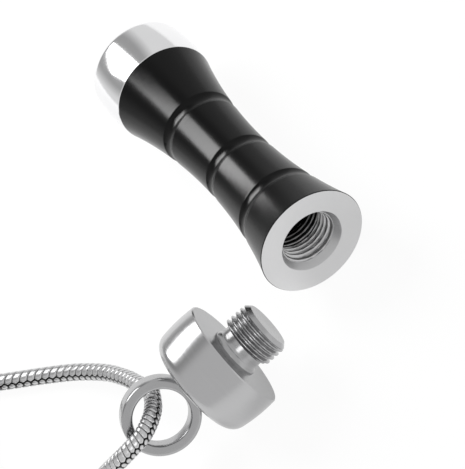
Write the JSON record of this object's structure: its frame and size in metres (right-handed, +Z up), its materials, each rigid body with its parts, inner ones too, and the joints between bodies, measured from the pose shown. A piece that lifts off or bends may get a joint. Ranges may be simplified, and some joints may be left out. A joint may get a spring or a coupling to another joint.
{
  "type": "screw-top capsule pendant",
  "caption": "Waisted black capsule with a hidden chamber, opened: its domed screw cap lies beside the mouth, with a threaded stud and a ring on a coiled snake chain with a lobster clasp.",
  "frame": {"origin": "middle of the box round the barrel and the cap, on the table", "axes": "+X along the barrel towards its mouth, +Y from the cap towards the barrel, +Z up from the table"},
  "size_m": [0.0495, 0.0809, 0.0126],
  "materials": {
    "black_finish": "satin black over steel, with fine turning marks",
    "polished_steel": "mirror polished",
    "satin_steel": "softly polished",
    "turned_steel": "turned bright",
    "chain_steel": "polished plates with dark gaps",
    "clasp_steel": "tumbled bright",
    "spring_steel": "bare spring strip",
    "tie_band": "matt"
  },
  "bodies": {
    "necklace": {"chain_left_run": "chain_steel", "chain_front_run": "chain_steel", "chain_coil": "chain_steel", "coil_tie": "tie_band", "clasp_end_cap": "clasp_steel", "tail_end_cap": "clasp_steel", "tail_ring": "clasp_steel", "clasp_body": "clasp_steel", "clasp_pin": "turned_steel", "clasp_spring": "spring_steel"},
    "cap": {"screw_cap": "satin_steel", "threaded_stud": "turned_steel", "chain_ring": "satin_steel"},
    "barrel": {"barrel": "black_finish", "end_plug": "polished_steel"},
    "lever": {"clasp_lever": "clasp_steel"}
  },
  "joints": [
    {"name": "cap_advance", "type": "slide", "parent": "necklace", "child": "cap", "axis": [0.1374, 0.9905, 0], "range_m": [0, 0.00525], "deforming": ["chain_left_run", "chain_front_run"]},
    {"name": "barrel_carry", "type": "hinge", "parent": "necklace", "child": "barrel", "pos_m": [0.01242, 0.00497, 0.006], "axis": [0.0215, -0.0246, -0.9995], "range_deg": [0, 97.93]},
    {"name": "lever_open", "type": "hinge", "parent": "necklace", "child": "lever", "pos_m": [-0.00201, -0.06203, 0.0014], "axis": [0, 0, 1], "range_deg": [0, 22], "stiffness_Nm_per_rad": 0.0001, "springref_deg": -11.46, "deforming": ["clasp_spring"]}
  ]
}
